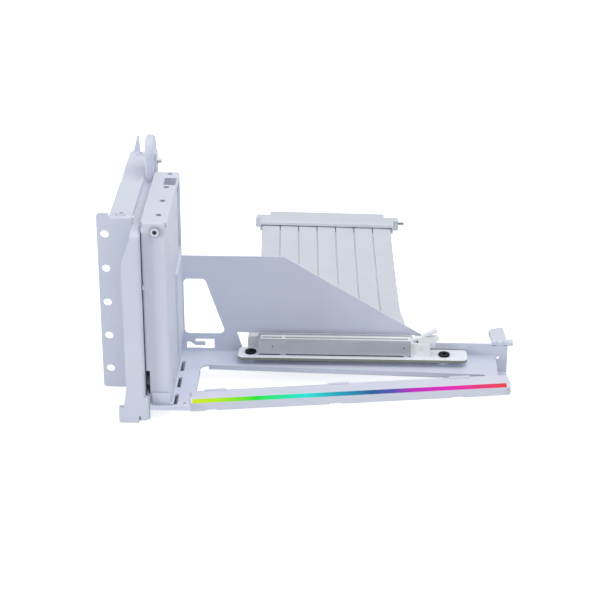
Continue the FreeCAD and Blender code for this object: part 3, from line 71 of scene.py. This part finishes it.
# Ribbon: millimetres along a strap and its mid-line's height above the floor, as in the solids, and its sizes
RIBBON_ROUTE = [
    (0.0, 18.5), (20.0, 18.5), (42.0, 14.0), (66.0, 5.0),
    (92.0, 0.5), (174.0, 0.5), (192.0, 1.8), (210.0, 3.5),
]
STRAP_COUNT = 7
STRAP_WIDTH = 12.35 * MM
STRAP_PITCH = 12.65 * MM
STRAP_THICKNESS = 1.0 * MM
STRAP_INSERT = 4.5 * MM
RIBBON_LEAN = math.radians(2.2)
RIBBON_OFFSET = 0.8 * MM
SPLINE_STEPS = 12
SPLINE_ORDER = 3
EDGE_STEPS = 6

# Light bar: its slant and length, as in the solids, and the colours along it
BAR_ANGLE = math.radians(8.3)
BAR_LENGTH = 178.0 * MM
BAR_GLOW = 0.25
BAR_COLOURS = [
    (0.00, (0.54, 0.64, 0.005)),
    (0.08, (0.36, 0.66, 0.002)),
    (0.20, (0.004, 0.61, 0.02)),
    (0.28, (0.002, 0.64, 0.23)),
    (0.36, (0.004, 0.62, 0.53)),
    (0.45, (0.002, 0.30, 0.40)),
    (0.57, (0.002, 0.08, 0.24)),
    (0.64, (0.07, 0.05, 0.36)),
    (0.70, (0.38, 0.010, 0.39)),
    (0.81, (0.62, 0.005, 0.40)),
    (0.91, (0.65, 0.020, 0.16)),
    (1.00, (0.66, 0.036, 0.040)),
]

# Colours: the darker and the paler tone that each surface drifts between
PAINT_TONES = ((0.655, 0.690, 0.795), (0.685, 0.720, 0.815))
TRAY_TONES = ((0.645, 0.685, 0.805), (0.675, 0.715, 0.825))
BAR_TONES = ((0.67, 0.69, 0.79), (0.70, 0.72, 0.81))
SCREW_TONES = ((0.66, 0.69, 0.78), (0.69, 0.72, 0.80))
PLASTIC_TONES = ((0.63, 0.665, 0.72), (0.66, 0.69, 0.74))
BRIGHT_TONES = ((0.86, 0.88, 0.89), (0.89, 0.90, 0.91))
VINYL_TONES = ((0.65, 0.67, 0.74), (0.68, 0.70, 0.76))
BOARD_TONES = ((0.84, 0.86, 0.91), (0.87, 0.89, 0.93))
STEEL_TONES = ((0.52, 0.53, 0.56), (0.60, 0.61, 0.64))
SHROUD_TONES = ((0.50, 0.52, 0.57), (0.56, 0.58, 0.62))
BLACK_TONES = ((0.006, 0.006, 0.009), (0.010, 0.010, 0.014))
GOLD_TONES = ((0.70, 0.47, 0.15), (0.78, 0.54, 0.19))

# Colours of one tone: painted shade on the straps' edges, the boards' laminate edges darkened by painted
# shade, painted shade in the driver hole and on the plastic behind the jacket, open floor and shaded floor
VINYL_EDGE_SHADE = (0.40, 0.42, 0.48)
LAMINATE_EDGE_AND_SHADE = (0.25, 0.275, 0.22)
DRIVER_HOLE_SHADE = (0.05, 0.05, 0.06)
JACKET_PAINTED_SHADE = (0.02, 0.02, 0.03)
FLOOR_OPEN = (0.93, 0.93, 0.94)
FLOOR_SHADED = (0.20, 0.20, 0.25)

# Noise: repeats in a metre of clouds and of grain, their detail, the grain's depth and its share in the gloss
CLOUD = 45.0
FINE_CLOUD = 60.0
PAINT_GRAIN = 2600.0
PLASTIC_GRAIN = 1800.0
BLACK_GRAIN = 1500.0
STEEL_GRAIN = 900.0
SHROUD_GRAIN = 700.0
CLOUD_DETAIL = 3.0
GRAIN_DETAIL = 2.0
GRAIN_DEPTH = 0.05 * MM
GLOSS_DRIFT = 0.05
EVEN = (1.0, 1.0, 1.0)
BRUSHED = (0.08, 1.0, 1.0)

# Levels of a field between which a surface goes from its first tone to its second
RAMP_START = 0.3
RAMP_END = 0.7

# Screw head: its driver hole, painted dark as shade, where the painted shade of its rim starts as a share of
# its radius, and how pale that shaded rim is
DRIVER_RADIUS = 1.2 * MM
RIM_START = 0.86
RIM_SHADE_TONE = 0.45

# Socket: how far behind the jacket's face the plastic is painted dark as shade
JACKET_SHADE_DEPTH = 0.45 * MM

# Edges: faces whose normals stand less upright than this are a strap's or a board's edge
STRAP_EDGE_LIMIT = 0.84
BOARD_EDGE_LIMIT = 0.5


# Shader nodes
def object_place(tree):
    """The object's own coordinates, which are the frame's too, for the solids and the floor."""
    return tree.nodes.new("ShaderNodeTexCoord").outputs["Object"]


def axes(tree, vector):
    """A vector's parts along X, Y and Z."""
    split = tree.nodes.new("ShaderNodeSeparateXYZ")
    tree.links.new(vector, split.inputs["Vector"])
    return split.outputs


def math_node(tree, operation, first, second=None):
    """One operation on a socket and, where it takes two values, on a second socket or a plain number."""
    node = tree.nodes.new("ShaderNodeMath")
    node.operation = operation
    tree.links.new(first, node.inputs[0])
    if isinstance(second, bpy.types.NodeSocket):
        tree.links.new(second, node.inputs[1])
    elif second is not None:
        node.inputs[1].default_value = second
    return node.outputs[0]


def noise_field(tree, scale, detail, stretch=EVEN):
    """Noise fixed to the object's own coordinates, as a socket from 0 to 1."""
    mapping = tree.nodes.new("ShaderNodeMapping")
    mapping.inputs["Scale"].default_value = stretch
    noise = tree.nodes.new("ShaderNodeTexNoise")
    noise.inputs["Scale"].default_value = scale
    noise.inputs["Detail"].default_value = detail
    tree.links.new(object_place(tree), mapping.inputs["Vector"])
    tree.links.new(mapping.outputs["Vector"], noise.inputs["Vector"])
    return noise.outputs["Fac"]


def colour_between(tree, field, low, high):
    """A colour that goes from one tone to another as the field rises."""
    ramp = tree.nodes.new("ShaderNodeValToRGB")
    first, last = ramp.color_ramp.elements
    first.position = RAMP_START
    last.position = RAMP_END
    first.color = (*low, 1.0)
    last.color = (*high, 1.0)
    tree.links.new(field, ramp.inputs["Fac"])
    return ramp.outputs["Color"]


def clouded(tree, tones, scale=CLOUD):
    """A colour that drifts between two tones over the surface."""
    return colour_between(tree, noise_field(tree, scale, CLOUD_DETAIL), *tones)


def value_between(tree, field, low, high):
    """A value that goes from low to high as the field goes from 0 to 1."""
    spread = tree.nodes.new("ShaderNodeMapRange")
    spread.inputs["To Min"].default_value = low
    spread.inputs["To Max"].default_value = high
    tree.links.new(field, spread.inputs["Value"])
    return spread.outputs["Result"]


def soft_step(tree, field, low, high):
    """0 at one level and 1 at another, with a smooth change between."""
    step = tree.nodes.new("ShaderNodeMapRange")
    step.interpolation_type = "SMOOTHSTEP"
    step.inputs["From Min"].default_value = low
    step.inputs["From Max"].default_value = high
    tree.links.new(field, step.inputs["Value"])
    return step.outputs["Result"]


def mixed(tree, factor, plain, varied):
    """A plain colour where the factor is 0, and a colour from a socket where it is 1."""
    mix = tree.nodes.new("ShaderNodeMix")
    mix.data_type = "RGBA"
    mix.inputs["A"].default_value = (*plain, 1.0)
    tree.links.new(factor, mix.inputs["Factor"])
    tree.links.new(varied, mix.inputs["B"])
    return mix.outputs["Result"]


def add_bump(tree, shader, field, strength):
    bump = tree.nodes.new("ShaderNodeBump")
    bump.inputs["Strength"].default_value = strength
    bump.inputs["Distance"].default_value = GRAIN_DEPTH
    tree.links.new(field, bump.inputs["Height"])
    tree.links.new(bump.outputs["Normal"], shader.inputs["Normal"])


# Materials
def new_material(name):
    material = bpy.data.materials.new(name)
    material.use_nodes = True
    return material, material.node_tree, material.node_tree.nodes["Principled BSDF"]


def coated(name, tones, rough, grain_scale, relief, metallic=0.0, stretch=EVEN, specular=0.5):
    """A surface whose colour drifts a little, with a fine grain in its gloss and relief."""
    material, tree, shader = new_material(name)
    grain = noise_field(tree, grain_scale, GRAIN_DETAIL, stretch)
    gloss = value_between(tree, grain, rough - GLOSS_DRIFT, rough + GLOSS_DRIFT)
    tree.links.new(clouded(tree, tones), shader.inputs["Base Color"])
    tree.links.new(gloss, shader.inputs["Roughness"])
    shader.inputs["Metallic"].default_value = metallic
    shader.inputs["Specular IOR Level"].default_value = specular
    add_bump(tree, shader, grain, relief)
    return material


def edge_shaded_material(name, tones, edge, limit, rough):
    """One colour on faces that look up or down and another on the edges, told apart by the normal; the edge
    colour is painted shade, which on the boards darkens the laminate's own edge tone.
    """
    material, tree, shader = new_material(name)
    normal = tree.nodes.new("ShaderNodeNewGeometry").outputs["Normal"]
    upright = math_node(tree, "ABSOLUTE", axes(tree, normal)["Z"])
    flat = math_node(tree, "GREATER_THAN", upright, limit)
    face = clouded(tree, tones, FINE_CLOUD)
    tree.links.new(mixed(tree, flat, edge, face), shader.inputs["Base Color"])
    shader.inputs["Roughness"].default_value = rough
    return material


def jacket_shaded_material(name, tones, shade_colour, rough):
    """Plastic with painted shade: dark where it lies close behind the socket's metal jacket."""
    material, tree, shader = new_material(name)
    jacket_low, jacket_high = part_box("socket_shroud")
    place = axes(tree, object_place(tree))
    deeper = math_node(tree, "GREATER_THAN", place["Y"], jacket_low[1] + JACKET_SHADE_DEPTH)
    beside = math_node(tree, "GREATER_THAN", place["X"], jacket_high[0])
    unshaded = math_node(tree, "MAXIMUM", deeper, beside)
    tree.links.new(mixed(tree, unshaded, shade_colour, clouded(tree, tones)), shader.inputs["Base Color"])
    shader.inputs["Roughness"].default_value = rough
    return material


def placed(tree, location, rotation=(0.0, 0.0, 0.0), scale=EVEN):
    """The object's coordinates, measured from another place, direction and unit."""
    mapping = tree.nodes.new("ShaderNodeMapping")
    mapping.vector_type = "TEXTURE"
    mapping.inputs["Location"].default_value = location
    mapping.inputs["Rotation"].default_value = rotation
    mapping.inputs["Scale"].default_value = scale
    tree.links.new(object_place(tree), mapping.inputs["Vector"])
    return mapping.outputs["Vector"]


def axis_distance(tree, vector):
    """Distance from the line along Y through the origin."""
    flat = tree.nodes.new("ShaderNodeVectorMath")
    flat.operation = "MULTIPLY"
    flat.inputs[1].default_value = (1.0, 0.0, 1.0)
    length = tree.nodes.new("ShaderNodeVectorMath")
    length.operation = "LENGTH"
    tree.links.new(vector, flat.inputs[0])
    tree.links.new(flat.outputs["Vector"], length.inputs[0])
    return length.outputs["Value"]


def shaded_screw_material(name, node, tones, hole, rough):
    """Paint with painted shade in a dark driver hole and on a darker rim, found by the distance from the
    screw's own axis.
    """
    material, tree, shader = new_material(name)
    low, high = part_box(node)
    middle = [(a + b) / 2 for a, b in zip(low, high)]
    head_radius = (high[0] - low[0]) / 2
    spread = tree.nodes.new("ShaderNodeMapRange")
    spread.inputs["From Max"].default_value = head_radius
    rings = tree.nodes.new("ShaderNodeValToRGB")
    rings.color_ramp.interpolation = "CONSTANT"
    inside, rim = rings.color_ramp.elements
    inside.color = (0.0, 0.0, 0.0, 1.0)
    rim.position = RIM_START
    rim.color = (RIM_SHADE_TONE, RIM_SHADE_TONE, RIM_SHADE_TONE, 1.0)
    face = rings.color_ramp.elements.new(DRIVER_RADIUS / head_radius)
    face.color = (1.0, 1.0, 1.0, 1.0)
    tree.links.new(axis_distance(tree, placed(tree, middle)), spread.inputs["Value"])
    tree.links.new(spread.outputs["Result"], rings.inputs["Fac"])
    painted = mixed(tree, rings.outputs["Color"], hole, clouded(tree, tones))
    tree.links.new(painted, shader.inputs["Base Color"])
    shader.inputs["Roughness"].default_value = rough
    return material


def lens_material(name, rough, specular):
    """Translucent strip lit from behind, its colour running along the bar."""
    material, tree, shader = new_material(name)
    low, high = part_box("led_diffuser")
    along_bar = placed(tree, (low[0], low[1], 0.0), (0.0, 0.0, BAR_ANGLE), (BAR_LENGTH, 1.0, 1.0))
    ramp = tree.nodes.new("ShaderNodeValToRGB")
    stops = ramp.color_ramp.elements
    for position, _ in BAR_COLOURS[1:-1]:
        stops.new(position)
    for stop, (_, colour) in zip(stops, BAR_COLOURS):
        stop.color = (*colour, 1.0)
    tree.links.new(axes(tree, along_bar)["X"], ramp.inputs["Fac"])
    tree.links.new(ramp.outputs["Color"], shader.inputs["Base Color"])
    tree.links.new(ramp.outputs["Color"], shader.inputs["Emission Color"])
    shader.inputs["Emission Strength"].default_value = BAR_GLOW
    shader.inputs["Roughness"].default_value = rough
    shader.inputs["Specular IOR Level"].default_value = specular
    return material


paint = coated("white_paint", PAINT_TONES, rough=0.42, grain_scale=PAINT_GRAIN, relief=0.08)
tray_paint = coated("tray_paint", TRAY_TONES, rough=0.42, grain_scale=PAINT_GRAIN, relief=0.08)
bar_paint = coated("bar_paint", BAR_TONES, rough=0.40, grain_scale=PAINT_GRAIN, relief=0.05)
plastic = coated("white_plastic", PLASTIC_TONES, rough=0.38, grain_scale=PLASTIC_GRAIN, relief=0.05)
bright_plastic = coated("bright_plastic", BRIGHT_TONES, rough=0.35, grain_scale=PLASTIC_GRAIN, relief=0.05)
steel = coated("plated_steel", STEEL_TONES, rough=0.30, grain_scale=STEEL_GRAIN, relief=0.05, metallic=1.0)
gold = coated("gold_plate", GOLD_TONES, rough=0.25, grain_scale=STEEL_GRAIN, relief=0.03, metallic=1.0)
black_steel = coated("black_steel", BLACK_TONES, rough=0.50, grain_scale=BLACK_GRAIN, relief=0.06,
                     specular=0.12)
shroud_steel = coated("shroud_steel", SHROUD_TONES, rough=0.38, grain_scale=SHROUD_GRAIN, relief=0.06,
                      metallic=0.8, stretch=BRUSHED)
# The straps' darker edges are painted shade
ribbon_vinyl = edge_shaded_material("ribbon_vinyl", VINYL_TONES, VINYL_EDGE_SHADE, limit=STRAP_EDGE_LIMIT, rough=0.46)
# The boards' edges: the laminate's own tone, darkened by painted shade
board_white = edge_shaded_material("white_board", BOARD_TONES, LAMINATE_EDGE_AND_SHADE, limit=BOARD_EDGE_LIMIT, rough=0.35)
# Painted shade on the socket's plastic behind the jacket
jacket_shaded_plastic = jacket_shaded_material("jacket_shaded_plastic", BRIGHT_TONES, JACKET_PAINTED_SHADE, rough=0.35)
# Painted shade in the screw's driver hole and on its rim
shaded_screw_paint = shaded_screw_material("shaded_screw_paint", "frame_screw", SCREW_TONES, DRIVER_HOLE_SHADE, rough=0.4)
lens = lens_material("lens", rough=0.5, specular=0.2)

NODE_MATERIALS = [
    (paint, ["case_bracket", "bracket_tail", "gpu_frame", "bracket_spacers", "tie_spacers", "slide_rail",
             "rail_hook", "bracket_screws", "support_flap", "flap_pin"]),
    (tray_paint, ["mount_tray", "board_standoffs"]),
    (shaded_screw_paint, ["frame_screw"]),
    (bar_paint, ["led_housing", "led_end_caps", "led_clips"]),
    (plastic, ["plug_base", "plug_cover", "plug_cap"]),
    (bright_plastic, ["socket_latch", "ribbon_clamp"]),
    (jacket_shaded_plastic, ["socket_body"]),
    (steel, ["hook_screw", "tie_screws", "tray_screws", "led_end_screw"]),
    (black_steel, ["board_screws"]),
    (shroud_steel, ["socket_shroud"]),
    (board_white, ["socket_board", "led_board", "plug_board"]),
    (gold, ["socket_contacts", "plug_fingers"]),
    (lens, ["led_diffuser", "led_chips"]),
]
for material, names in NODE_MATERIALS:
    for name in names:
        mesh = nodes[name].data
        mesh.materials.clear()
        mesh.materials.append(material)


# Ribbon straps
def spline_points(points):
    """Points read from a smooth open curve with the given control points."""
    curve = bpy.data.curves.new("route", "CURVE")
    curve.dimensions = "3D"
    curve.resolution_u = SPLINE_STEPS
    spline = curve.splines.new("NURBS")
    spline.points.add(len(points) - 1)
    for control, point in zip(spline.points, points):
        control.co = (*point, 1.0)
    spline.order_u = SPLINE_ORDER
    spline.use_endpoint_u = True
    holder = bpy.data.objects.new("route", curve)
    line = bpy.data.meshes.new_from_object(holder)
    found = [vertex.co.copy() for vertex in line.vertices]
    bpy.data.objects.remove(holder)
    bpy.data.curves.remove(curve)
    bpy.data.meshes.remove(line)
    return found


def strap_section():
    """Flat section with half-round edges, as (across, up) pairs round the strap."""
    radius = STRAP_THICKNESS / 2
    reach = STRAP_WIDTH / 2 - radius
    section = []
    for side in (1, -1):
        for step in range(EDGE_STEPS + 1):
            angle = math.pi * step / EDGE_STEPS - math.pi / 2
            section.append((side * (reach + radius * math.cos(angle)), side * radius * math.sin(angle)))
    return section


def strap_mesh(name, line, across):
    """A strap swept along a line, its width along one level direction."""
    section = strap_section()
    vertices = []
    for number, point in enumerate(line):
        ahead = line[min(number + 1, len(line) - 1)]
        behind = line[max(number - 1, 0)]
        up = across.cross(ahead - behind).normalized()
        vertices += [point + across * side + up * lift for side, lift in section]
    count = len(section)
    faces = []
    for ring in range(len(line) - 1):
        for k in range(count):
            here = ring * count + k
            beside = ring * count + (k + 1) % count
            faces.append((here, beside, beside + count, here + count))
    faces.append(tuple(reversed(range(count))))
    faces.append(tuple(range((len(line) - 1) * count, len(line) * count)))
    mesh = bpy.data.meshes.new(name)
    mesh.from_pydata([tuple(vertex) for vertex in vertices], [], faces)
    mesh.polygons.foreach_set("use_smooth", [True] * len(mesh.polygons))
    mesh.materials.append(ribbon_vinyl)
    strap = bpy.data.objects.new(name, mesh)
    bpy.context.scene.collection.objects.link(strap)
    return strap


clamp_low, clamp_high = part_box("ribbon_clamp")
ribbon_middle = (clamp_low[0] + clamp_high[0]) / 2 + RIBBON_OFFSET
ribbon_start = clamp_high[1] - STRAP_INSERT
along = Vector((-math.sin(RIBBON_LEAN), math.cos(RIBBON_LEAN), 0.0))
across = Vector((math.cos(RIBBON_LEAN), math.sin(RIBBON_LEAN), 0.0))
upward = Vector((0.0, 0.0, 1.0))
for k in range(STRAP_COUNT):
    sideways = (k - (STRAP_COUNT - 1) / 2) * STRAP_PITCH
    start = Vector((ribbon_middle + sideways, ribbon_start, 0.0))
    route = [start + along * (distance * MM) + upward * (height * MM) for distance, height in RIBBON_ROUTE]
    line = spline_points(route)
    strap = strap_mesh(f"strap_{k + 1}", line, across)
    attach(strap, "mount")
    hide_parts(f"ribbon_strip_{k + 1}")


# Stage: pale floor, white surround, soft lamps and camera
def floor_patch(tree, left, right, front, back):
    """1 within a soft-edged patch of the floor and 0 outside it."""
    place = axes(tree, object_place(tree))
    sides = math_node(tree, "MULTIPLY", soft_step(tree, place["X"], left, left + SHADE_BLUR),
                      soft_step(tree, place["X"], right, right - SHADE_BLUR))
    ends = math_node(tree, "MULTIPLY", soft_step(tree, place["Y"], front, front + SHADE_BLUR),
                     soft_step(tree, place["Y"], back, back - SHADE_BLUR))
    return math_node(tree, "MULTIPLY", sides, ends)


def tower_shade(tree):
    """1 on the floor close under the tower, where hardly any light gets in."""
    low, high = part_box("gpu_frame")
    return floor_patch(tree, low[0], high[0] + SHADE_REACH, low[1] + SHADE_SETBACK, high[1])


def ribbon_shade(tree):
    """A weaker shade on the floor under the ribbon, seen in the gaps between its straps."""
    half = STRAP_COUNT * STRAP_PITCH / 2
    plug_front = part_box("plug_base")[0][1]
    drift = (plug_front - ribbon_start) * math.sin(RIBBON_LEAN)
    patch = floor_patch(tree, ribbon_middle - half, ribbon_middle + half - drift, clamp_high[1], plug_front)
    return value_between(tree, patch, 0.0, RIBBON_SHADE)


def floor_material():
    """Pale and matt, with a glow that only the camera sees, weaker in the shaded patches."""
    material, tree, shader = new_material("floor")
    tree.nodes.remove(shader)
    shade = math_node(tree, "MAXIMUM", tower_shade(tree), ribbon_shade(tree))
    diffuse = tree.nodes.new("ShaderNodeBsdfDiffuse")
    tree.links.new(colour_between(tree, shade, FLOOR_OPEN, FLOOR_SHADED), diffuse.inputs["Color"])
    rays = tree.nodes.new("ShaderNodeLightPath")
    level = value_between(tree, shade, FLOOR_GLOW, 0.0)
    lift = math_node(tree, "MULTIPLY", rays.outputs["Is Camera Ray"], level)
    glow = tree.nodes.new("ShaderNodeEmission")
    glow.inputs["Color"].default_value = (1.0, 1.0, 1.0, 1.0)
    tree.links.new(lift, glow.inputs["Strength"])
    joined = tree.nodes.new("ShaderNodeAddShader")
    tree.links.new(diffuse.outputs["BSDF"], joined.inputs[0])
    tree.links.new(glow.outputs["Emission"], joined.inputs[1])
    tree.links.new(joined.outputs["Shader"], tree.nodes["Material Output"].inputs["Surface"])
    return material


def add_floor():
    reach = FLOOR_REACH
    corners = [(-reach, -reach), (reach, -reach), (reach, reach), (-reach, reach)]
    mesh = bpy.data.meshes.new("floor")
    mesh.from_pydata([(x, y, FLOOR_LEVEL) for x, y in corners], [], [(0, 1, 2, 3)])
    mesh.materials.append(floor_material())
    floor = bpy.data.objects.new("floor", mesh)
    bpy.context.scene.collection.objects.link(floor)


def add_world():
    """A pale sky that lights the object, and plain white where the camera sees it or a gloss mirrors it."""
    world = bpy.data.worlds.new("studio")
    bpy.context.scene.world = world
    world.use_nodes = True
    tree = world.node_tree
    sky = tree.nodes["Background"]
    sky.inputs["Color"].default_value = (*SKY_COLOUR, 1.0)
    sky.inputs["Strength"].default_value = SKY_STRENGTH
    white = tree.nodes.new("ShaderNodeBackground")
    white.inputs["Color"].default_value = (1.0, 1.0, 1.0, 1.0)
    white.inputs["Strength"].default_value = 1.0
    rays = tree.nodes.new("ShaderNodeLightPath")
    seen = math_node(tree, "MAXIMUM", rays.outputs["Is Camera Ray"], rays.outputs["Is Glossy Ray"])
    seen_through = math_node(tree, "MAXIMUM", seen, rays.outputs["Is Transmission Ray"])
    choose = tree.nodes.new("ShaderNodeMixShader")
    tree.links.new(seen_through, choose.inputs["Fac"])
    tree.links.new(sky.outputs["Background"], choose.inputs[1])
    tree.links.new(white.outputs["Background"], choose.inputs[2])
    tree.links.new(choose.outputs["Shader"], tree.nodes["World Output"].inputs["Surface"])


def add_area_light(name, place, target, size, power, colour):
    light = bpy.data.lights.new(name, "AREA")
    light.shape = "DISK"
    light.size = size
    light.energy = power
    light.color = colour
    lamp = bpy.data.objects.new(name, light)
    lamp.location = place
    lamp.rotation_euler = (Vector(target) - Vector(place)).to_track_quat("-Z", "Y").to_euler()
    bpy.context.scene.collection.objects.link(lamp)


def add_camera():
    data = bpy.data.cameras.new("camera")
    data.sensor_width = SENSOR_WIDTH
    data.sensor_fit = "HORIZONTAL"
    data.lens = CAMERA_LENS
    data.clip_start = CAMERA_NEAR
    camera = bpy.data.objects.new("camera", data)
    camera.location = CAMERA_PLACE
    camera.rotation_euler = (math.radians(CAMERA_TILT), 0.0, math.radians(CAMERA_TURN))
    bpy.context.scene.collection.objects.link(camera)
    bpy.context.scene.camera = camera


add_floor()
add_world()
for lamp in LAMPS:
    add_area_light(*lamp)
add_camera()
bpy.context.scene.view_settings.view_transform = "Standard"
